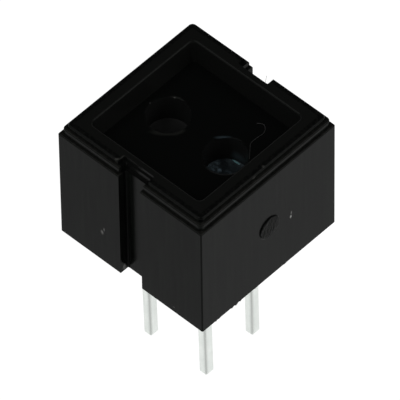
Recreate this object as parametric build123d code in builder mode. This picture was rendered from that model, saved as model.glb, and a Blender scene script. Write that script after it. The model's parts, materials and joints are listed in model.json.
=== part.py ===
from build123d import *
import os

# Reflective optical sensor, millimetres.
# The origin is the middle of the body's underside, where it meets a circuit board.
# +Z points up through the windows, +X from the detector to the emitter, and the leads hang below Z = 0.

# Body
body_side = 7.0
block_height = 5.4
corner_round = 0.055
block_edge_round = 0.05

# Two steps on top of the block, a collar and then a rim
collar_ledge = 0.1
collar_height = 0.3
collar_corner = 0.18
collar_edge_round = 0.06
rim_ledge = 0.115
rim_height = 0.2
rim_corner = 0.2
rim_edge_round = 0.08
rim_width = 0.6

# Square pocket inside the rim, whose walls slope in towards its floor
pocket_depth = 0.85
pocket_slope = 0.23
pocket_corner = 0.2
pocket_foot_corner = 0.12
pocket_foot_round = 0.06
pocket_lip_round = 0.1

# Two wells in the pocket's floor, one over each chip, a little nearer the light barrier than the chamber's middle.
# Each mouth is a shallow cone.
window_offset = 0.1
window_diameter = 1.7
window_lip_width = 0.06
window_lip_depth = 0.02

# Groove down the middle of two opposite faces, and a wider notch in each step above it
groove_width = 1.05
groove_depth = 0.4
collar_notch_width = 1.2
collar_notch_depth = 0.4
rim_notch_width = 1.48
rim_notch_depth = 0.345
groove_corner = 0.05
rim_notch_corner = 0.08

# Low round mark that the mould left standing on the +X face
mark_diameter = 1.0
mark_height = 0.05
mark_edge_round = 0.03
mark_y = 0.02
mark_z = 2.78

# Chambers below the wells, and the light barrier between them
side_wall = 0.9
chamber_corner = 0.3
ceiling_thickness = 1.3
barrier_thickness = 0.8
barrier_bottom = 0.9

# Cast resin in the chambers, and the potting that closes the underside
cast_clearance = 0.02
casting_rise = 0.15
dish_depth = 0.12
seal_bottom = 0.25

# Leads: one of each pair carries a chip on its arm, the other ends in a post
lead_pitch_y = 2.5
lead_thickness = 0.35
lead_width = 0.4
lead_edge_round = 0.04
lead_length = 5.95
arm_drop = 1.6
arm_thickness = 0.4
arm_reach = 0.45
post_rise = 0.3
head_height = 0.35
head_reach = 0.2
detector_pad_width = 0.8
detector_pad_thickness = 0.2

# How far each lead's tip stands off its root
emitter_front_lean = (0.07, 0.05)
emitter_back_lean = (0.02, 0.06)
detector_front_lean = (0.125, 0.02)
detector_back_lean = (0.06, 0.04)

# Chips and bond wires
emitter_chip_side = 0.3
detector_chip_side = 0.6
chip_height = 0.2
wire_diameter = 0.03
wire_rise = 0.3
wire_bend = 0.12
wire_landing = 0.1
wire_clearance = 0.01

# Worked out from the sizes above
half_side = body_side / 2
collar_side = body_side - 2 * collar_ledge
rim_side = collar_side - 2 * rim_ledge
pocket_side = rim_side - 2 * rim_width
pocket_floor_side = pocket_side - 2 * pocket_slope
collar_top = block_height + collar_height
body_top = collar_top + rim_height
pocket_floor = body_top - pocket_depth
ceiling = pocket_floor - ceiling_thickness
cavity_side = body_side - 2 * side_wall
chamber_width = (cavity_side - barrier_thickness) / 2
chamber_x = (cavity_side + barrier_thickness) / 4
window_x = chamber_x - window_offset
window_radius = window_diameter / 2
casting_radius = window_radius - cast_clearance
casting_top = ceiling + casting_rise
dish_radius = (casting_radius ** 2 + dish_depth ** 2) / (2 * dish_depth)
lead_y = lead_pitch_y / 2
arm_top = ceiling - arm_drop
post_top = arm_top + post_rise
chip_top = arm_top + chip_height
wire_top = max(chip_top, post_top) + wire_rise

os.makedirs("parts", exist_ok=True)


def save(part, name):
    part.label = name
    export_step(part, f"parts/{name}.step")


def tier(side, corner, edge_round, bottom, height):
    """One step of the body, with the edge round its top eased."""
    with BuildSketch(Plane.XY.offset(bottom)) as outline:
        RectangleRounded(side, side, corner)
    raised = extrude(outline.sketch, amount=height)
    fillet(raised.faces().sort_by(Axis.Z)[-1].edges(), edge_round)


def notch(side, width, depth, corner, bottom, height):
    """The same notch cut into the middle of the front and the back of one tier of that side."""
    with BuildSketch(Plane.XY.offset(bottom)) as outline:
        with Locations((0, -side / 2), (0, side / 2)):
            RectangleRounded(width, 2 * depth, corner)
    extrude(outline.sketch, amount=height, mode=Mode.SUBTRACT)


# Housing: one moulding with the stepped top, pocket, wells, chambers and light barrier
with BuildPart() as housing:
    tier(body_side, corner_round, block_edge_round, 0, block_height)
    tier(collar_side, collar_corner, collar_edge_round, block_height, collar_height)
    tier(rim_side, rim_corner, rim_edge_round, collar_top, rim_height)

    # Pocket, with its lip and its foot rounded
    with BuildSketch(Plane.XY.offset(body_top)) as mouth:
        RectangleRounded(pocket_side, pocket_side, pocket_corner)
    with BuildSketch(Plane.XY.offset(pocket_floor)) as foot:
        RectangleRounded(pocket_floor_side, pocket_floor_side, pocket_foot_corner)
    loft([mouth.sketch, foot.sketch], ruled=True, mode=Mode.SUBTRACT)
    pocket_face = housing.faces().filter_by(Axis.Z).filter_by_position(Axis.Z, pocket_floor, pocket_floor)[0]
    fillet(pocket_face.edges(), pocket_foot_round)
    rim_face = housing.faces().filter_by(Axis.Z).sort_by(Axis.Z)[-1]
    fillet(rim_face.inner_wires()[0].edges(), pocket_lip_round)

    # Groove and notches in the front and back faces
    notch(body_side, groove_width, groove_depth, groove_corner, 0, block_height)
    notch(collar_side, collar_notch_width, collar_notch_depth, groove_corner, block_height, collar_height)
    notch(rim_side, rim_notch_width, rim_notch_depth, rim_notch_corner, collar_top, rim_height)

    # Chambers, which share one recess below the light barrier
    with BuildSketch(Plane.XY.offset(barrier_bottom)):
        with Locations((-chamber_x, 0), (chamber_x, 0)):
            RectangleRounded(chamber_width, cavity_side, chamber_corner)
    extrude(amount=ceiling - barrier_bottom, mode=Mode.SUBTRACT)
    with BuildSketch(Plane.XY):
        RectangleRounded(cavity_side, cavity_side, chamber_corner)
    extrude(amount=barrier_bottom, mode=Mode.SUBTRACT)

    # Wells from the pocket down into the chambers
    with BuildSketch(Plane.XY.offset(pocket_floor)):
        with Locations((-window_x, 0), (window_x, 0)):
            Circle(window_radius)
    extrude(amount=-ceiling_thickness, mode=Mode.SUBTRACT)
    with Locations((-window_x, 0, pocket_floor), (window_x, 0, pocket_floor)):
        Cone(window_radius, window_radius + window_lip_width, window_lip_depth,
             align=(Align.CENTER, Align.CENTER, Align.MAX), mode=Mode.SUBTRACT)

    # Mark of the mould
    with BuildSketch(Plane.YZ.offset(half_side)):
        with Locations((mark_y, mark_z)):
            Circle(mark_diameter / 2)
    extrude(amount=mark_height)
    fillet(housing.faces().sort_by(Axis.X)[-1].edges(), mark_edge_round)

save(housing.part, "housing")


def bar(x, y_from, y_to, bottom, top, width):
    """A flat bar of a lead along Y, between two heights."""
    with BuildSketch(Plane.XY.offset(bottom)) as outline:
        with Locations((x, (y_from + y_to) / 2)):
            Rectangle(width, abs(y_to - y_from))
    extrude(outline.sketch, amount=top - bottom)


def leg(x, y, top, lean):
    """A lead's leg with eased edges: straight inside the body, then leaning a little down to the cut tip."""
    with BuildSketch(Plane.XY) as root:
        with Locations((x, y)):
            RectangleRounded(lead_thickness, lead_width, lead_edge_round)
    extrude(root.sketch, amount=top)
    with BuildSketch(Plane.XY.offset(-lead_length)) as tip:
        with Locations((x + lean[0], y + lean[1])):
            RectangleRounded(lead_thickness, lead_width, lead_edge_round)
    loft([root.sketch, tip.sketch])


def chip_lead(x, lean):
    """The front lead of a pair, whose arm reaches under the window to carry the chip."""
    leg(x, -lead_y, arm_top, lean)
    bar(x, -lead_y, arm_reach, arm_top - arm_thickness, arm_top, lead_thickness)


def post_lead(x, lean):
    """The back lead of a pair, whose head takes the bond wire."""
    leg(x, lead_y, post_top, lean)
    bar(x, lead_y - lead_width / 2 - head_reach, lead_y, post_top - head_height, post_top, lead_thickness)


# Leads
with BuildPart() as diode_cathode_lead:
    chip_lead(window_x, emitter_front_lean)
save(diode_cathode_lead.part, "diode_cathode_lead")

with BuildPart() as diode_anode_lead:
    post_lead(window_x, emitter_back_lean)
save(diode_anode_lead.part, "diode_anode_lead")

with BuildPart() as transistor_collector_lead:
    chip_lead(-window_x, detector_front_lean)
    bar(-window_x, -arm_reach, arm_reach, arm_top - detector_pad_thickness, arm_top, detector_pad_width)
save(transistor_collector_lead.part, "transistor_collector_lead")

with BuildPart() as transistor_emitter_lead:
    post_lead(-window_x, detector_back_lean)
save(transistor_emitter_lead.part, "transistor_emitter_lead")


def chip(x, side):
    """A square die on the end of its lead's arm, under the window."""
    with BuildSketch(Plane.XY.offset(arm_top)) as outline:
        with Locations((x, 0)):
            Rectangle(side, side)
    extrude(outline.sketch, amount=chip_height)


# Chips
with BuildPart() as emitter_chip:
    chip(window_x, emitter_chip_side)
save(emitter_chip.part, "emitter_chip")

with BuildPart() as detector_chip:
    chip(-window_x, detector_chip_side)
save(detector_chip.part, "detector_chip")


def wire(x, diameter):
    """A round wire from the top of a chip, over and down to the head of the back lead."""
    landing = lead_y - wire_landing
    with BuildLine() as path:
        FilletPolyline((x, 0, chip_top), (x, 0, wire_top), (x, landing, wire_top), (x, landing, post_top),
                       radius=wire_bend)
    with BuildSketch(Plane.XY.offset(chip_top)) as section:
        with Locations((x, 0)):
            Circle(diameter / 2)
    sweep(section.sketch, path=path.line)


# Bond wires, and the round channels that they leave in the resin
with BuildPart() as emitter_wire:
    wire(window_x, wire_diameter)
save(emitter_wire.part, "emitter_wire")

with BuildPart() as detector_wire:
    wire(-window_x, wire_diameter)
save(detector_wire.part, "detector_wire")

with BuildPart() as emitter_channel:
    wire(window_x, wire_diameter + 2 * wire_clearance)

with BuildPart() as detector_channel:
    wire(-window_x, wire_diameter + 2 * wire_clearance)


def casting(x, cast_around):
    """Resin that fills a chamber round its leads and rises into the well, where its top dries to a shallow dish."""
    side = 1 if x > 0 else -1
    with BuildSketch(Plane.XY.offset(barrier_bottom)) as block:
        with Locations((side * chamber_x, 0)):
            RectangleRounded(chamber_width - 2 * cast_clearance, cavity_side - 2 * cast_clearance,
                             chamber_corner - cast_clearance)
    extrude(block.sketch, amount=ceiling - barrier_bottom)
    with BuildSketch(Plane.XY.offset(ceiling)) as column:
        with Locations((x, 0)):
            Circle(casting_radius)
    extrude(column.sketch, amount=casting_rise)
    with Locations((x, 0, casting_top - dish_depth + dish_radius)):
        Sphere(dish_radius, mode=Mode.SUBTRACT)
    for piece in cast_around:
        add(piece.part, mode=Mode.SUBTRACT)


# Resin
with BuildPart() as emitter_resin:
    casting(window_x, [diode_cathode_lead, diode_anode_lead, emitter_chip, emitter_channel])
save(emitter_resin.part, "emitter_resin")

with BuildPart() as detector_resin:
    casting(-window_x, [transistor_collector_lead, transistor_emitter_lead, detector_chip, detector_channel])
save(detector_resin.part, "detector_resin")

# Potting that closes the underside round the four leads
with BuildPart() as base_seal:
    with BuildSketch(Plane.XY.offset(seal_bottom)):
        RectangleRounded(cavity_side - 2 * cast_clearance, cavity_side - 2 * cast_clearance,
                         chamber_corner - cast_clearance)
    extrude(amount=barrier_bottom - seal_bottom)
    for lead in (diode_cathode_lead, diode_anode_lead, transistor_collector_lead, transistor_emitter_lead):
        add(lead.part, mode=Mode.SUBTRACT)
save(base_seal.part, "base_seal")
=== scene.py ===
import json
from math import cos, radians, sin
import bpy
from mathutils import Matrix, Vector


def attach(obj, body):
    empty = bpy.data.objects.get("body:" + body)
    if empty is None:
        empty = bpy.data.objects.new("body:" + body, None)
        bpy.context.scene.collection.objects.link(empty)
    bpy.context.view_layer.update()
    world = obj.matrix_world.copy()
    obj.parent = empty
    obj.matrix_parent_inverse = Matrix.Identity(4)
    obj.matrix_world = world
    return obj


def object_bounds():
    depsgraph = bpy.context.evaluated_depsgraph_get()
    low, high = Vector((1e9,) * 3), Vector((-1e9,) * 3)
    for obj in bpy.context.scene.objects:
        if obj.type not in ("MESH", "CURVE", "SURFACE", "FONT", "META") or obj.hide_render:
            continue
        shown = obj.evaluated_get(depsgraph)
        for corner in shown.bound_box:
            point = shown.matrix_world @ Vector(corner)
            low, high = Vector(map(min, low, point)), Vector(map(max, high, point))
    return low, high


# A reflective optical sensor: a black moulded block on four tinned leads, standing on a white studio floor.
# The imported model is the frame. Blender's own unit is the metre. Sizes and places on the part are written in
# millimetres and scaled by MM where they are used. Colours are linear: red, green, blue and alpha.
MM = 0.001
MM_PER_METRE = 1000.0

# Camera, fitted to the photograph: which way it looks, where it stands, how far it is zoomed in, and the
# nearest and farthest distance that it sees, in metres
CAMERA_AZIMUTH = radians(43.84)
CAMERA_ELEVATION = radians(50.18)
CAMERA_ROLL = radians(-0.875)
CAMERA_PLACE = Vector((141.212, -146.930, 245.863)) * MM
CAMERA_LENS = 796.4
CAMERA_CLIP = (0.01, 20.0)

# Floor: its side in metres, its white under the lamps, and the glow that keeps it white to the camera and to
# gloss, with its share in what they see. On the -Y side gloss sees a dimmer glow, which falls off between two
# places on Y in millimetres.
FLOOR_SIDE = 3.0
FLOOR_WHITE = (0.8, 0.8, 0.8, 1.0)
FLOOR_GLOW = 1.1
FLOOR_GLOW_SHARE = 0.9
FLOOR_DIM = 0.80
FLOOR_DIM_FROM = -5.0
FLOOR_DIM_TO = -7.5

# World: its glow at the horizon and overhead. One turns into the other between two heights, which are the
# upward part of a direction one long.
WORLD_WHITE = (1.0, 1.0, 1.0, 1.0)
HORIZON_GLOW = 0.9
CEILING_GLOW = 0.05
HORIZON_TOP = 0.18
CEILING_START = 0.42

# Lamps: angles in degrees. The azimuth turns from -Y towards +X, and the spread is how wide a lamp looks.
LAMPS = {
    "overhead_left": {"azimuth": -20, "elevation": 58, "strength": 1.5, "spread": 50},
    "overhead_right": {"azimuth": 115, "elevation": 50, "strength": 1.0, "spread": 50},
    "low_right": {"azimuth": 121, "elevation": 26, "strength": 0.30, "spread": 20},
    "low_left": {"azimuth": -30, "elevation": 27, "strength": 0.12, "spread": 20},
}

# Shared effects: how much slower drawn lines change along Z than across, the detail of each noise, and how
# finely the borders of spots waver, in waves per millimetre. Most of a noise lies within NOISE_RANGE.
LINE_STRETCH = 0.035
LINE_DETAIL = 3.0
PATCH_DETAIL = 2.0
GRAIN_DETAIL = 4.0
BLOT_NOISE = 5.0
NOISE_MIDDLE = 0.5
NOISE_RANGE = (0.3, 0.7)

# Black moulding: its tones on the walls, the rim and the pocket, painted highlights on the steps and ledges,
# and painted light on the wells' walls
MOULDING_DARK = (0.0019, 0.0021, 0.0020, 1.0)
MOULDING_STREAK = (0.0042, 0.0050, 0.0042, 1.0)
STEP_HIGHLIGHT = (0.0075, 0.0078, 0.0070, 1.0)
LEDGE_HIGHLIGHT = (0.0090, 0.0090, 0.0080, 1.0)
RIM_RUB = (0.0055, 0.0056, 0.0052, 1.0)
POCKET_WALL = (0.0044, 0.0046, 0.0043, 1.0)
# The wells' walls are painted lighter, as painted light
WELL_WALL_LIGHT = (0.0080, 0.0084, 0.0082, 1.0)

# Where those places are: heights above the board, and distances from the middle along X or Y
STEPS_ABOVE = 5.37
STEPS_BEYOND = 3.27
RIM_ABOVE = 5.88
POCKET_ABOVE = 5.10
POCKET_WITHIN = 3.07
WELLS_BELOW = 5.03
WELLS_WITHIN = 2.5

# How upright a face has to be for a wall's streaks, how level for a ledge's painted highlight, and how that
# painted highlight and the rim's specks are broken up. Each noise is given by its waves per millimetre, its
# detail and its roughness.
WALL_TILT = (0.2, 0.0)
LEDGE_TILT = (0.3, 0.8)
STREAK_RANGE = (0.42, 0.68)
STEP_HIGHLIGHT_SHARE = 0.35
LEDGE_HIGHLIGHT_NOISE = (7.0, 4.0, 0.7)
LEDGE_HIGHLIGHT_RANGE = (0.35, 0.65)
SPECK_NOISE = (9.0, 3.0, 0.6)
SPECK_RANGE = (0.45, 0.70)

# The moulding's gloss and relief. The fine lines count less in the relief than the grain does.
MOULDING_ROUGHNESS = (0.11, 0.17)
MOULDING_SPECULAR = 0.032
MOULDING_TINT = (0.95, 1.0, 0.95, 1.0)
MOULDING_LINES = 0.4
MOULDING_RELIEF = 0.004

# Spots on a surface. Each has a centre, its reach along X, Y and Z, a turn round Z in degrees, a softness of
# its border and a strength. The first are pale flecks on the walls, in a groove and on a window's lip.
FLECK = (0.26, 0.26, 0.25, 1.0)
FLECKS = (
    ((3.50, 1.15, 2.36), (0.1, 0.06, 0.10), 0.0, 0.6, 1.0),
    ((3.50, 1.18, 2.55), (0.1, 0.04, 0.12), 0.0, 0.7, 0.5),
    ((-1.41, -3.50, 1.59), (0.09, 0.1, 0.15), 0.0, 0.7, 0.36),
    ((-1.31, -3.50, 1.80), (0.05, 0.1, 0.12), 0.0, 0.7, 0.36),
    ((2.10, -3.50, 0.25), (0.07, 0.1, 0.03), 0.0, 0.7, 0.30),
    ((-0.53, -3.31, 0.18), (0.06, 0.09, 0.22), 0.0, 0.6, 0.50),
    ((-1.79, 0.75, 5.04), (0.05, 0.05, 0.06), 0.0, 0.7, 0.20),
    ((-2.26, -0.02, 5.04), (0.04, 0.05, 0.06), 0.0, 0.7, 0.08),
)

# Painted highlights where the rim's edges catch the light, most of them beside the front notch
RIM_HIGHLIGHT = (0.026, 0.026, 0.024, 1.0)
RIM_HIGHLIGHTS = (
    ((-0.83, -3.23, 5.88), (0.15, 0.06, 0.06), -45.0, 0.7, 1.0),
    ((-0.75, -3.05, 5.89), (0.05, 0.14, 0.06), 0.0, 0.7, 0.7),
    ((-0.35, -2.96, 5.89), (0.45, 0.05, 0.06), 0.0, 0.8, 0.6),
    ((-0.82, -3.29, 5.76), (0.10, 0.08, 0.09), 0.0, 0.8, 0.3),
    ((3.22, 0.03, 5.90), (0.07, 0.07, 0.06), 0.0, 0.8, 0.9),
    ((3.28, -0.52, 5.81), (0.08, 0.11, 0.08), 0.0, 0.8, 0.9),
)

# Painted highlights on the detector well's lip, in the tone of the steps' painted highlight
WELL_LIP_HIGHLIGHTS = (
    ((-0.95, -0.72, 5.04), (0.62, 0.16, 0.05), -38.0, 0.5, 1.0),
    ((-0.62, -0.38, 5.04), (0.40, 0.16, 0.05), -62.0, 0.5, 1.0),
    ((-1.75, 0.76, 5.04), (0.30, 0.12, 0.05), -25.0, 0.6, 0.8),
)

# Spots of light that the blue resin throws on the lip and the wall of its well
WELL_LIGHT = (0.055, 0.080, 0.095, 1.0)
WELL_LIGHTS = (
    ((0.74, 0.56, 5.045), (0.36, 0.08, 0.05), -45.0, 0.9, 0.30),
    ((1.22, 0.82, 4.12), (0.50, 0.14, 0.32), 0.0, 0.9, 0.28),
)

# The grooves' inner corners are duller. The spot at each is drawn out along Z far past the groove's ends.
CORNER_DULL = 0.40
CORNER_X = 0.50
CORNER_Y = 3.10
CORNER_HEIGHT = 2.70
CORNER_REACH = (0.11, 0.11, 50.0)
CORNER_SOFTNESS = 0.5
GROOVE_CORNERS = tuple(
    ((side * CORNER_X, face * CORNER_Y, CORNER_HEIGHT), CORNER_REACH, 0.0, CORNER_SOFTNESS, 1.0)
    for side in (-1.0, 1.0) for face in (-1.0, 1.0)
)

# The mould's mark stands out past MARK_BEYOND on X. It is duller than the wall, and pitted.
MARK_CENTRE = (3.53, 0.0, 2.80)
MARK_REACH = (0.3, 0.52, 0.54)
MARK_SOFTNESS = 0.3
MARK_UNEVENNESS = 0.15
MARK_BEYOND = 3.502
MARK_DULL = 0.28
MARK_PITS = 24.0
MARK_PIT_NOISE = 10.5

# Blue resin: its depth, and the patches of painted light and the one painted glint in the plane of its top
RESIN_DEEP = (0.0095, 0.0118, 0.0132, 1.0)
RESIN_LIGHT_PATCH = (0.10, 0.140, 0.165, 1.0)
RESIN_LIGHT_PATCHES = (
    ((0.94, 0.10, 3.85), (0.18, 0.17, 0.4), 0.0, 0.8, 1.0),
    ((0.76, 0.00, 3.85), (0.22, 0.15, 0.4), 0.0, 0.8, 0.7),
    ((0.72, 0.30, 3.85), (0.16, 0.13, 0.4), 0.0, 0.8, 0.45),
    ((1.30, 0.26, 3.85), (0.22, 0.14, 0.4), 0.0, 0.9, 0.25),
)
RESIN_GLINT = (0.08, 0.18, 0.19, 1.0)
RESIN_GLINTS = (
    ((1.21, 0.75, 3.86), (0.20, 0.04, 0.4), -3.0, 0.5, 1.0),
)
RESIN_GRAINS = 6.0
RESIN_LIGHT_RANGE = (0.42, 0.60)
RESIN_LIGHT_SHARE = (0.15, 1.0)
RESIN_ROUGHNESS = 0.1
RESIN_IOR = 1.5
RESIN_SPECULAR = 0.25
RESIN_TINT = (0.60, 0.80, 0.90, 1.0)
RESIN_TRANSMISSION = 0.25
RESIN_RELIEF = 0.02

# Dark resin
DARK_RESIN_TONES = ((0.0060, 0.0061, 0.0060, 1.0), (0.0105, 0.0106, 0.0105, 1.0))
DARK_RESIN_GRAINS = 1.5
DARK_RESIN_ROUGHNESS = 0.16
DARK_RESIN_SPECULAR = 0.05
DARK_RESIN_RELIEF = 0.01

# Tinned leads: the corner between the +X and -Y faces is painted in shade, over a reach in millimetres
LEAD_TONES = ((0.69, 0.73, 0.70, 1.0), (0.84, 0.87, 0.84, 1.0))
LEAD_LINES = 14.0
LEAD_PATCHES = 2.0
LEAD_ROUGHNESS = (0.30, 0.48)
LEAD_RELIEF = 0.004
SHADED_LEAD_CORNER = (0.707, -0.707, 0.0)
LEAD_PAINTED_SHADE = (0.47, 0.49, 0.47, 1.0)
LEAD_SHADE_REACH = 0.20
LEAD_SHADE_RANGE = (0.74, 0.97)
LEAD_SHADE_SAMPLES = 8

# Chips
CHIP_TONES = ((0.10, 0.10, 0.13, 1.0), (0.22, 0.21, 0.24, 1.0))
CHIP_GRAINS = 6.0
CHIP_ROUGHNESS = 0.15
CHIP_METALLIC = 0.4

# Bond wires
WIRE_TONES = ((0.80, 0.56, 0.20, 1.0), (0.95, 0.72, 0.34, 1.0))
WIRE_GRAINS = 12.0
WIRE_ROUGHNESS = 0.25

# Potting
POTTING_TONES = ((0.004, 0.004, 0.004, 1.0), (0.010, 0.010, 0.011, 1.0))
POTTING_GRAINS = 1.2
POTTING_ROUGHNESS = (0.25, 0.5)
POTTING_RELIEF = 0.05

# Flash along the lower edge of the +X face: where each nib is on Y, how wide it is and how far it hangs down.
# A nib's outline is given in shares of its width and of its drop.
FLASH_FACE = 3.495
FLASH_THICKNESS = 0.03
FLASH_NIBS = (
    (-2.78, 0.10, 0.05),
    (-2.62, 0.14, 0.03),
    (-1.93, 0.16, 0.06),
    (-1.72, 0.20, 0.08),
    (-1.50, 0.12, 0.05),
    (-0.70, 0.20, 0.03),
    (0.85, 0.24, 0.03),
)
NIB_OUTLINE = ((-0.5, 0.0), (-0.15, 1.0), (0.2, 0.7), (0.5, 0.0))

# A whisker of flash on the rear rim
WHISKER = ((0.60, 2.93, 5.84), (0.56, 3.00, 5.87), (0.50, 3.10, 5.88), (0.42, 3.22, 5.885))
WHISKER_RADIUS = 0.006

# A loose fibre that lies on the pocket's floor
FIBRE = (
    (1.20, 1.85, 5.062), (1.35, 1.97, 5.07), (1.50, 1.97, 5.062), (1.72, 1.75, 5.07),
    (1.66, 1.35, 5.062), (1.66, 1.02, 5.07), (1.90, 0.75, 5.062), (2.15, 0.45, 5.07),
)
FIBRE_RADIUS = 0.012
FIBRE_TONES = ((0.0012, 0.0012, 0.0012, 1.0), (0.0050, 0.0050, 0.0045, 1.0))
FIBRE_GRAINS = 4.0
FIBRE_ROUGHNESS = 0.6

# How round the strands are across, and how smoothly they run along their control points
STRAND_ROUNDNESS = 2
STRAND_ORDER = 3

# A Mix node that is set to colours has its two colours and its result in these sockets
MIX_FIRST = 6
MIX_SECOND = 7
MIX_RESULT = 2

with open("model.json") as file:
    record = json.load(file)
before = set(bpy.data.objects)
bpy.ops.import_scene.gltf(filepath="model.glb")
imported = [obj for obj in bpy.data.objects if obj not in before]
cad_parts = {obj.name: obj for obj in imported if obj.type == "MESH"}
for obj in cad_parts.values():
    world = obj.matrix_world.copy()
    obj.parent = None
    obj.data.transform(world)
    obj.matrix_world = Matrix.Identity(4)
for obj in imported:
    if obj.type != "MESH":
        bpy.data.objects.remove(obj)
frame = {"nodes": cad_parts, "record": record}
cad_low, cad_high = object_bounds()
scene = bpy.context.scene


# Shader building blocks

def new_group(name, inputs, outputs):
    """A shader node group with named sockets; inputs maps a name to its socket type and default value."""
    group = bpy.data.node_groups.new(name, "ShaderNodeTree")
    for socket, (kind, value) in inputs.items():
        item = group.interface.new_socket(socket, in_out="INPUT", socket_type=kind)
        if value is not None:
            item.default_value = value
    for socket, kind in outputs.items():
        group.interface.new_socket(socket, in_out="OUTPUT", socket_type=kind)
    entry = group.nodes.new("NodeGroupInput")
    leave = group.nodes.new("NodeGroupOutput")
    return group, entry, leave


def add_math(tree, operation, first, second=None, third=None, clamp=False):
    """A Math node; each operand is a number or a socket."""
    node = tree.nodes.new("ShaderNodeMath")
    node.operation = operation
    node.use_clamp = clamp
    for slot, operand in enumerate((first, second, third)):
        if operand is None:
            continue
        if isinstance(operand, (int, float)):
            node.inputs[slot].default_value = operand
        else:
            tree.links.new(operand, node.inputs[slot])
    return node.outputs[0]


def add_range(tree, value, low, high, to_low=0.0, to_high=1.0, smooth=False):
    """A Map Range node, clamped."""
    node = tree.nodes.new("ShaderNodeMapRange")
    node.interpolation_type = "SMOOTHSTEP" if smooth else "LINEAR"
    tree.links.new(value, node.inputs["Value"])
    node.inputs["From Min"].default_value = low
    node.inputs["From Max"].default_value = high
    node.inputs["To Min"].default_value = to_low
    node.inputs["To Max"].default_value = to_high
    return node.outputs["Result"]


def add_mix(tree, factor, first, second):
    """A colour mix; the factor and both colours are each a value or a socket."""
    node = tree.nodes.new("ShaderNodeMix")
    node.data_type = "RGBA"
    operands = {"Factor": factor, MIX_FIRST: first, MIX_SECOND: second}
    for socket, operand in operands.items():
        if isinstance(operand, bpy.types.NodeSocket):
            tree.links.new(operand, node.inputs[socket])
        else:
            node.inputs[socket].default_value = operand
    return node.outputs[MIX_RESULT]


def add_noise(tree, vector, scale, detail=2.0, roughness=0.5):
    """A noise of so many waves per unit of the vector."""
    node = tree.nodes.new("ShaderNodeTexNoise")
    tree.links.new(vector, node.inputs["Vector"])
    node.inputs["Scale"].default_value = scale
    node.inputs["Detail"].default_value = detail
    node.inputs["Roughness"].default_value = roughness
    return node.outputs["Fac"]


def add_stretch(tree, vector, scale):
    """The coordinates, scaled by three factors."""
    node = tree.nodes.new("ShaderNodeMapping")
    tree.links.new(vector, node.inputs["Vector"])
    node.inputs["Scale"].default_value = scale
    return node.outputs["Vector"]


def add_split(tree, vector):
    """The three parts of a vector."""
    split = tree.nodes.new("ShaderNodeSeparateXYZ")
    tree.links.new(vector, split.inputs["Vector"])
    return split.outputs["X"], split.outputs["Y"], split.outputs["Z"]


# Shared effects

def build_drawn_lines():
    """Fine lines along Z, as a tool or a die leaves them, and slow patches across them."""
    group, entry, leave = new_group("drawn_lines", {
        "Coordinates": ("NodeSocketVector", None),
        "Lines per mm": ("NodeSocketFloat", 8.0),
        "Patches per mm": ("NodeSocketFloat", 1.0),
    }, {"Lines": "NodeSocketFloat", "Patches": "NodeSocketFloat"})
    stretched = add_stretch(group, entry.outputs["Coordinates"], (1.0, 1.0, LINE_STRETCH))
    lines = group.nodes.new("ShaderNodeTexNoise")
    lines.inputs["Detail"].default_value = LINE_DETAIL
    group.links.new(stretched, lines.inputs["Vector"])
    group.links.new(entry.outputs["Lines per mm"], lines.inputs["Scale"])
    patches = group.nodes.new("ShaderNodeTexNoise")
    patches.inputs["Detail"].default_value = PATCH_DETAIL
    group.links.new(entry.outputs["Coordinates"], patches.inputs["Vector"])
    group.links.new(entry.outputs["Patches per mm"], patches.inputs["Scale"])
    group.links.new(lines.outputs["Fac"], leave.inputs["Lines"])
    group.links.new(patches.outputs["Fac"], leave.inputs["Patches"])
    return group


def build_fine_grain():
    """The very fine texture of a moulded or cast surface."""
    group, entry, leave = new_group("fine_grain", {
        "Coordinates": ("NodeSocketVector", None),
        "Grains per mm": ("NodeSocketFloat", 20.0),
    }, {"Height": "NodeSocketFloat"})
    grain = group.nodes.new("ShaderNodeTexNoise")
    grain.inputs["Detail"].default_value = GRAIN_DETAIL
    group.links.new(entry.outputs["Coordinates"], grain.inputs["Vector"])
    group.links.new(entry.outputs["Grains per mm"], grain.inputs["Scale"])
    group.links.new(grain.outputs["Fac"], leave.inputs["Height"])
    return group


def build_blot():
    """A soft spot round a point of the part, with an uneven border; Turn slants it round Z."""
    group, entry, leave = new_group("blot", {
        "Coordinates": ("NodeSocketVector", None),
        "Centre": ("NodeSocketVector", (0.0, 0.0, 0.0)),
        "Reach": ("NodeSocketVector", (1.0, 1.0, 1.0)),
        "Turn": ("NodeSocketFloat", 0.0),
        "Softness": ("NodeSocketFloat", 0.4),
        "Unevenness": ("NodeSocketFloat", 0.3),
    }, {"Mask": "NodeSocketFloat"})
    offset = group.nodes.new("ShaderNodeVectorMath")
    offset.operation = "SUBTRACT"
    group.links.new(entry.outputs["Coordinates"], offset.inputs[0])
    group.links.new(entry.outputs["Centre"], offset.inputs[1])
    turned = group.nodes.new("ShaderNodeVectorRotate")
    turned.rotation_type = "Z_AXIS"
    group.links.new(offset.outputs["Vector"], turned.inputs["Vector"])
    group.links.new(entry.outputs["Turn"], turned.inputs["Angle"])
    shared = group.nodes.new("ShaderNodeVectorMath")
    shared.operation = "DIVIDE"
    group.links.new(turned.outputs["Vector"], shared.inputs[0])
    group.links.new(entry.outputs["Reach"], shared.inputs[1])
    distance = group.nodes.new("ShaderNodeVectorMath")
    distance.operation = "LENGTH"
    group.links.new(shared.outputs["Vector"], distance.inputs[0])
    noise = add_noise(group, entry.outputs["Coordinates"], BLOT_NOISE)
    wobble = add_math(group, "SUBTRACT", noise, NOISE_MIDDLE)
    border = add_math(group, "MULTIPLY_ADD", wobble, entry.outputs["Unevenness"], distance.outputs["Value"])
    inside = add_math(group, "SUBTRACT", 1.0, border)
    mask = add_math(group, "DIVIDE", inside, entry.outputs["Softness"], clamp=True)
    group.links.new(mask, leave.inputs["Mask"])
    return group


DRAWN_LINES = build_drawn_lines()
FINE_GRAIN = build_fine_grain()
BLOT = build_blot()


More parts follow.
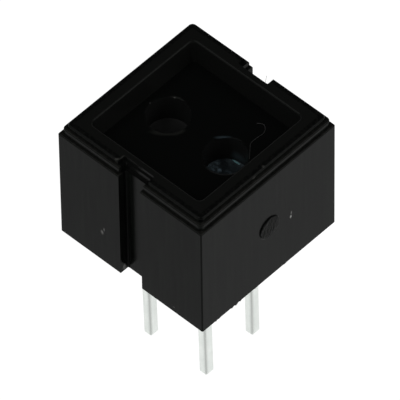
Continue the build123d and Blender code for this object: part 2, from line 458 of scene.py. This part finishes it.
def new_material(name):
    """A material with one Principled BSDF, and the object's coordinates in millimetres."""
    material = bpy.data.materials.new(name)
    material.use_nodes = True
    tree = material.node_tree
    shader = tree.nodes["Principled BSDF"]
    place = tree.nodes.new("ShaderNodeTexCoord")
    coordinates = add_stretch(tree, place.outputs["Object"], (MM_PER_METRE,) * 3)
    return material, tree, shader, coordinates


def use_group(tree, group, coordinates, **values):
    """A shared effect placed in a material; each value is named for its socket, with _ for a space."""
    node = tree.nodes.new("ShaderNodeGroup")
    node.node_tree = group
    tree.links.new(coordinates, node.inputs["Coordinates"])
    for name, value in values.items():
        node.inputs[name.replace("_", " ")].default_value = value
    return node


def add_blots(tree, coordinates, blots):
    """The joined mask of several spots."""
    total = None
    for centre, reach, turn, softness, strength in blots:
        spot = use_group(tree, BLOT, coordinates, Centre=centre, Reach=reach, Turn=radians(turn),
                         Softness=softness)
        mask = add_math(tree, "MULTIPLY", spot.outputs["Mask"], strength)
        total = mask if total is None else add_math(tree, "MAXIMUM", total, mask)
    return total


def set_tones(tree, shader, mask, tones):
    """The base colour goes from the first tone to the second where the mask does from 0 to 1."""
    tree.links.new(add_mix(tree, mask, *tones), shader.inputs["Base Color"])


def set_relief(tree, shader, height, depth):
    """A bump from a height between 0 and 1, with its depth in millimetres."""
    bump = tree.nodes.new("ShaderNodeBump")
    bump.inputs["Strength"].default_value = 1.0
    bump.inputs["Distance"].default_value = depth * MM
    tree.links.new(height, bump.inputs["Height"])
    tree.links.new(bump.outputs["Normal"], shader.inputs["Normal"])


# Black moulding

def moulding_places(tree, coordinates):
    """Masks of the steps, their ledges, the rim, the pocket, the wells and the upright walls."""
    along_x, along_y, height = add_split(tree, coordinates)
    off_middle = add_math(tree, "MAXIMUM", add_math(tree, "ABSOLUTE", along_x),
                          add_math(tree, "ABSOLUTE", along_y))
    surface = tree.nodes.new("ShaderNodeNewGeometry")
    upward = add_split(tree, surface.outputs["Normal"])[2]
    beyond_steps = add_math(tree, "GREATER_THAN", off_middle, STEPS_BEYOND)
    steps = add_math(tree, "MULTIPLY", beyond_steps, add_math(tree, "GREATER_THAN", height, STEPS_ABOVE))
    return {
        "walls": add_range(tree, add_math(tree, "ABSOLUTE", upward), *WALL_TILT),
        "steps": steps,
        "ledges": add_math(tree, "MULTIPLY", steps, add_range(tree, upward, *LEDGE_TILT)),
        "rim": add_math(tree, "GREATER_THAN", height, RIM_ABOVE),
        "pocket": add_math(tree, "MULTIPLY", add_math(tree, "LESS_THAN", off_middle, POCKET_WITHIN),
                           add_math(tree, "GREATER_THAN", height, POCKET_ABOVE)),
        "wells": add_math(tree, "MULTIPLY", add_math(tree, "LESS_THAN", off_middle, WELLS_WITHIN),
                          add_math(tree, "LESS_THAN", height, WELLS_BELOW)),
        "mark": add_math(tree, "GREATER_THAN", along_x, MARK_BEYOND),
    }


def moulding_colour(tree, coordinates, places, lines):
    """Streaked walls, painted highlights on the steps and ledges, a speckled rim, a lighter pocket, painted
    light on the wells' walls, and then the spots over them all, painted highlights, painted light and pale
    flecks among them.
    """
    streaks = add_range(tree, lines.outputs["Lines"], *STREAK_RANGE)
    ledge_highlight = add_range(tree, add_noise(tree, coordinates, *LEDGE_HIGHLIGHT_NOISE), *LEDGE_HIGHLIGHT_RANGE)
    specks = add_range(tree, add_noise(tree, coordinates, *SPECK_NOISE), *SPECK_RANGE)
    coats = (
        (add_math(tree, "MULTIPLY", streaks, places["walls"]), MOULDING_STREAK),
        # Painted highlights on the steps and on the ledges
        (add_math(tree, "MULTIPLY", places["steps"], STEP_HIGHLIGHT_SHARE), STEP_HIGHLIGHT),
        (add_math(tree, "MULTIPLY", places["ledges"], ledge_highlight), LEDGE_HIGHLIGHT),
        (add_math(tree, "MULTIPLY", places["rim"], specks), RIM_RUB),
        (places["pocket"], POCKET_WALL),
        # Painted light on the wells' walls
        (places["wells"], WELL_WALL_LIGHT),
        # Painted highlights on the detector well's lip
        (add_blots(tree, coordinates, WELL_LIP_HIGHLIGHTS), STEP_HIGHLIGHT),
        (add_blots(tree, coordinates, WELL_LIGHTS), WELL_LIGHT),
        # Painted highlights on the rim's edges
        (add_blots(tree, coordinates, RIM_HIGHLIGHTS), RIM_HIGHLIGHT),
        (add_blots(tree, coordinates, FLECKS), FLECK),
    )
    base = MOULDING_DARK
    for mask, tone in coats:
        base = add_mix(tree, mask, base, tone)
    return base


def moulding_roughness(tree, coordinates, places, lines):
    """Slow patches of gloss, with a duller mark and duller corners in the grooves."""
    rough = add_range(tree, lines.outputs["Patches"], *NOISE_RANGE, *MOULDING_ROUGHNESS)
    rough = add_math(tree, "MULTIPLY_ADD", places["mark"], MARK_DULL, rough)
    corners = add_blots(tree, coordinates, GROOVE_CORNERS)
    return add_math(tree, "MULTIPLY_ADD", corners, CORNER_DULL, rough)


def moulding_height(tree, coordinates, lines):
    """Fine grain and faint lines all over, and pits in the mark."""
    grain = use_group(tree, FINE_GRAIN, coordinates)
    mark = use_group(tree, BLOT, coordinates, Centre=MARK_CENTRE, Reach=MARK_REACH, Softness=MARK_SOFTNESS,
                     Unevenness=MARK_UNEVENNESS)
    pits = add_range(tree, add_noise(tree, coordinates, MARK_PIT_NOISE), *NOISE_RANGE)
    pitted = add_math(tree, "MULTIPLY", mark.outputs["Mask"], add_math(tree, "MULTIPLY", pits, MARK_PITS))
    height = add_math(tree, "MULTIPLY_ADD", lines.outputs["Lines"], MOULDING_LINES, grain.outputs["Height"])
    return add_math(tree, "ADD", height, pitted)


def make_black_moulding():
    """Satin black plastic: streaked walls, painted highlights on the steps and ledges, the mould's rough mark
    and a few pale flecks.
    """
    material, tree, shader, coordinates = new_material("black_moulding")
    lines = use_group(tree, DRAWN_LINES, coordinates)
    places = moulding_places(tree, coordinates)
    tree.links.new(moulding_colour(tree, coordinates, places, lines), shader.inputs["Base Color"])
    tree.links.new(moulding_roughness(tree, coordinates, places, lines), shader.inputs["Roughness"])
    shader.inputs["Specular IOR Level"].default_value = MOULDING_SPECULAR
    shader.inputs["Specular Tint"].default_value = MOULDING_TINT
    set_relief(tree, shader, moulding_height(tree, coordinates, lines), MOULDING_RELIEF)
    return material


# Other finishes

def make_blue_resin():
    """Blue-tinted resin over the dark chamber, with patches of painted light and a painted glint on its top.
    """
    material, tree, shader, coordinates = new_material("blue_resin")
    grain = use_group(tree, FINE_GRAIN, coordinates, Grains_per_mm=RESIN_GRAINS)
    broken = add_range(tree, grain.outputs["Height"], *RESIN_LIGHT_RANGE, *RESIN_LIGHT_SHARE)
    # Painted light on the resin's top: lit patches broken up by the grain, then a painted glint over them
    lit_patch = add_math(tree, "MULTIPLY", add_blots(tree, coordinates, RESIN_LIGHT_PATCHES), broken)
    lit_resin = add_mix(tree, lit_patch, RESIN_DEEP, RESIN_LIGHT_PATCH)
    set_tones(tree, shader, add_blots(tree, coordinates, RESIN_GLINTS), (lit_resin, RESIN_GLINT))
    shader.inputs["Roughness"].default_value = RESIN_ROUGHNESS
    shader.inputs["IOR"].default_value = RESIN_IOR
    shader.inputs["Specular IOR Level"].default_value = RESIN_SPECULAR
    shader.inputs["Specular Tint"].default_value = RESIN_TINT
    shader.inputs["Transmission Weight"].default_value = RESIN_TRANSMISSION
    set_relief(tree, shader, grain.outputs["Height"], RESIN_RELIEF)
    return material


def make_dark_resin():
    """Black resin that passes infrared light only."""
    material, tree, shader, coordinates = new_material("dark_resin")
    grain = use_group(tree, FINE_GRAIN, coordinates, Grains_per_mm=DARK_RESIN_GRAINS)
    set_tones(tree, shader, grain.outputs["Height"], DARK_RESIN_TONES)
    shader.inputs["Roughness"].default_value = DARK_RESIN_ROUGHNESS
    shader.inputs["Specular IOR Level"].default_value = DARK_RESIN_SPECULAR
    set_relief(tree, shader, grain.outputs["Height"], DARK_RESIN_RELIEF)
    return material


def painted_shade_corner(tree):
    """A mask of the corner that is painted in shade, from the surface's eased direction there."""
    eased = tree.nodes.new("ShaderNodeBevel")
    eased.samples = LEAD_SHADE_SAMPLES
    eased.inputs["Radius"].default_value = LEAD_SHADE_REACH * MM
    towards = tree.nodes.new("ShaderNodeVectorMath")
    towards.operation = "DOT_PRODUCT"
    towards.inputs[1].default_value = SHADED_LEAD_CORNER
    tree.links.new(eased.outputs["Normal"], towards.inputs[0])
    return add_range(tree, towards.outputs["Value"], *LEAD_SHADE_RANGE)


def make_tinned_lead():
    """Matt tin plate over a drawn strip, with painted shade along one corner."""
    material, tree, shader, coordinates = new_material("tinned_lead")
    lines = use_group(tree, DRAWN_LINES, coordinates, Lines_per_mm=LEAD_LINES, Patches_per_mm=LEAD_PATCHES)
    tin = add_mix(tree, lines.outputs["Patches"], *LEAD_TONES)
    # The corner between the +X and -Y faces is painted in shade
    set_tones(tree, shader, painted_shade_corner(tree), (tin, LEAD_PAINTED_SHADE))
    rough = add_range(tree, lines.outputs["Lines"], *NOISE_RANGE, *LEAD_ROUGHNESS)
    tree.links.new(rough, shader.inputs["Roughness"])
    shader.inputs["Metallic"].default_value = 1.0
    set_relief(tree, shader, lines.outputs["Lines"], LEAD_RELIEF)
    return material


def make_chip():
    """A polished die, a little cloudy."""
    material, tree, shader, coordinates = new_material("chip")
    grain = use_group(tree, FINE_GRAIN, coordinates, Grains_per_mm=CHIP_GRAINS)
    set_tones(tree, shader, grain.outputs["Height"], CHIP_TONES)
    shader.inputs["Roughness"].default_value = CHIP_ROUGHNESS
    shader.inputs["Metallic"].default_value = CHIP_METALLIC
    return material


def make_bond_wire():
    """Drawn gold wire."""
    material, tree, shader, coordinates = new_material("bond_wire")
    grain = use_group(tree, FINE_GRAIN, coordinates, Grains_per_mm=WIRE_GRAINS)
    set_tones(tree, shader, grain.outputs["Height"], WIRE_TONES)
    shader.inputs["Roughness"].default_value = WIRE_ROUGHNESS
    shader.inputs["Metallic"].default_value = 1.0
    return material


def make_potting():
    """Black potting, poured round the leads and a little uneven."""
    material, tree, shader, coordinates = new_material("potting")
    grain = use_group(tree, FINE_GRAIN, coordinates, Grains_per_mm=POTTING_GRAINS)
    set_tones(tree, shader, grain.outputs["Height"], POTTING_TONES)
    rough = add_range(tree, grain.outputs["Height"], *NOISE_RANGE, *POTTING_ROUGHNESS)
    tree.links.new(rough, shader.inputs["Roughness"])
    set_relief(tree, shader, grain.outputs["Height"], POTTING_RELIEF)
    return material


def make_loose_fibre():
    """A dull grey fibre."""
    material, tree, shader, coordinates = new_material("loose_fibre")
    grain = use_group(tree, FINE_GRAIN, coordinates, Grains_per_mm=FIBRE_GRAINS)
    set_tones(tree, shader, grain.outputs["Height"], FIBRE_TONES)
    shader.inputs["Roughness"].default_value = FIBRE_ROUGHNESS
    return material


FINISHES = {
    "black_moulding": make_black_moulding(),
    "blue_resin": make_blue_resin(),
    "dark_resin": make_dark_resin(),
    "tinned_lead": make_tinned_lead(),
    "chip": make_chip(),
    "bond_wire": make_bond_wire(),
    "potting": make_potting(),
    "loose_fibre": make_loose_fibre(),
}


def finish_nodes():
    """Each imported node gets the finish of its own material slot."""
    for subpart in frame["record"]["subparts"]:
        node = frame["nodes"][subpart["node"]]
        for slot in node.material_slots:
            slot.material = FINISHES[subpart["material_slot"]]


# Small traces of the moulding, and one loose fibre in the pocket

def build_flash():
    """Nibs of flash along the lower edge of the +X face, each a thin lopsided tooth."""
    mesh = bpy.data.meshes.new("mould_flash")
    points, faces = [], []
    corners = len(NIB_OUTLINE)
    for middle, width, drop in FLASH_NIBS:
        front = [len(points) + corner for corner in range(corners)]
        back = [corner + corners for corner in front]
        for depth in (FLASH_FACE, FLASH_FACE - FLASH_THICKNESS):
            for across, down in NIB_OUTLINE:
                points.append(Vector((depth, middle + across * width, -down * drop)) * MM)
        faces += [front, back[::-1]]
        for corner in range(corners):
            after = (corner + 1) % corners
            faces.append((front[corner], back[corner], back[after], front[after]))
    mesh.from_pydata(points, [], faces)
    mesh.validate()
    mesh.materials.append(FINISHES["black_moulding"])
    flash = bpy.data.objects.new("mould_flash", mesh)
    scene.collection.objects.link(flash)
    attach(flash, "root")


def build_strand(name, points, radius, finish):
    """A thin strand on a smooth curve that its control points lead, with the given finish."""
    curve = bpy.data.curves.new(name, "CURVE")
    curve.dimensions = "3D"
    curve.bevel_depth = radius * MM
    curve.bevel_resolution = STRAND_ROUNDNESS
    curve.use_fill_caps = True
    spline = curve.splines.new("NURBS")
    spline.points.add(len(points) - 1)
    for knot, place in zip(spline.points, points):
        knot.co = (*(Vector(place) * MM), 1.0)
    spline.order_u = STRAND_ORDER
    spline.use_endpoint_u = True
    curve.materials.append(FINISHES[finish])
    strand = bpy.data.objects.new(name, curve)
    scene.collection.objects.link(strand)
    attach(strand, "root")


# Studio

def floor_glow(tree, path):
    """The floor's own glow, dimmer on the -Y side for every ray but the camera's."""
    place = tree.nodes.new("ShaderNodeTexCoord")
    along_y = add_split(tree, place.outputs["Object"])[1]
    dim = add_range(tree, along_y, FLOOR_DIM_TO * MM, FLOOR_DIM_FROM * MM, FLOOR_DIM, 1.0)
    even = add_math(tree, "MAXIMUM", dim, path.outputs["Is Camera Ray"])
    glow = tree.nodes.new("ShaderNodeEmission")
    tree.links.new(add_math(tree, "MULTIPLY", even, FLOOR_GLOW), glow.inputs["Strength"])
    return glow.outputs["Emission"]


def make_floor_white():
    """Matt white under the lamps, and mostly its own glow to the camera, gloss and clear pieces."""
    material = bpy.data.materials.new("floor_white")
    material.use_nodes = True
    tree = material.node_tree
    tree.nodes.clear()
    path = tree.nodes.new("ShaderNodeLightPath")
    seen = add_math(tree, "ADD", path.outputs["Is Camera Ray"], path.outputs["Is Glossy Ray"])
    seen = add_math(tree, "ADD", seen, path.outputs["Is Transmission Ray"], clamp=True)
    matt = tree.nodes.new("ShaderNodeBsdfDiffuse")
    matt.inputs["Color"].default_value = FLOOR_WHITE
    mix = tree.nodes.new("ShaderNodeMixShader")
    out = tree.nodes.new("ShaderNodeOutputMaterial")
    tree.links.new(add_math(tree, "MULTIPLY", seen, FLOOR_GLOW_SHARE), mix.inputs["Fac"])
    tree.links.new(matt.outputs["BSDF"], mix.inputs[1])
    tree.links.new(floor_glow(tree, path), mix.inputs[2])
    tree.links.new(mix.outputs["Shader"], out.inputs["Surface"])
    return material


def build_floor():
    """A white floor at the tips of the leads, which still takes the object's shadow."""
    half = FLOOR_SIDE / 2
    height = cad_low.z
    corners = [(-half, -half, height), (half, -half, height), (half, half, height), (-half, half, height)]
    mesh = bpy.data.meshes.new("floor")
    mesh.from_pydata(corners, [], [(0, 1, 2, 3)])
    mesh.materials.append(make_floor_white())
    floor = bpy.data.objects.new("floor", mesh)
    scene.collection.objects.link(floor)


def build_world():
    """A bright wall all round and a dim ceiling; the camera sees plain white."""
    world = bpy.data.worlds.new("studio")
    scene.world = world
    world.use_nodes = True
    tree = world.node_tree
    background = tree.nodes["Background"]
    place = tree.nodes.new("ShaderNodeTexCoord")
    rise = add_split(tree, place.outputs["Generated"])[2]
    glow = add_range(tree, rise, HORIZON_TOP, CEILING_START, HORIZON_GLOW, CEILING_GLOW, smooth=True)
    path = tree.nodes.new("ShaderNodeLightPath")
    seen = add_math(tree, "MAXIMUM", glow, path.outputs["Is Camera Ray"])
    tree.links.new(seen, background.inputs["Strength"])
    background.inputs["Color"].default_value = WORLD_WHITE


def direction(azimuth, elevation):
    """The direction from the part towards a lamp or the camera; the azimuth turns from -Y towards +X."""
    level = cos(elevation)
    return Vector((level * sin(azimuth), -level * cos(azimuth), sin(elevation)))


def build_lamps():
    """Broad soft lamps, so far off that the whole floor is lit evenly."""
    for name, lamp in LAMPS.items():
        light = bpy.data.lights.new(name, "SUN")
        light.energy = lamp["strength"]
        light.angle = radians(lamp["spread"])
        holder = bpy.data.objects.new(name, light)
        scene.collection.objects.link(holder)
        towards = direction(radians(lamp["azimuth"]), radians(lamp["elevation"]))
        holder.rotation_mode = "QUATERNION"
        holder.rotation_quaternion = towards.to_track_quat("Z", "Y")


def build_camera():
    """The camera stands at its fitted place, looks back at the part and is rolled a little."""
    data = bpy.data.cameras.new("camera")
    data.lens = CAMERA_LENS
    data.clip_start, data.clip_end = CAMERA_CLIP
    camera = bpy.data.objects.new("camera", data)
    scene.collection.objects.link(camera)
    back = direction(CAMERA_AZIMUTH, CAMERA_ELEVATION)
    right = Vector((cos(CAMERA_AZIMUTH), sin(CAMERA_AZIMUTH), 0.0))
    up = back.cross(right)
    turned_right = right * cos(CAMERA_ROLL) + up * sin(CAMERA_ROLL)
    turned_up = up * cos(CAMERA_ROLL) - right * sin(CAMERA_ROLL)
    turn = Matrix((turned_right, turned_up, back)).transposed()
    camera.matrix_world = Matrix.Translation(CAMERA_PLACE) @ turn.to_4x4()
    scene.camera = camera


finish_nodes()
build_flash()
build_strand("rim_whisker", WHISKER, WHISKER_RADIUS, "black_moulding")
build_strand("pocket_fibre", FIBRE, FIBRE_RADIUS, "loose_fibre")
build_floor()
build_world()
build_lamps()
build_camera()
scene.view_settings.view_transform = "Standard"
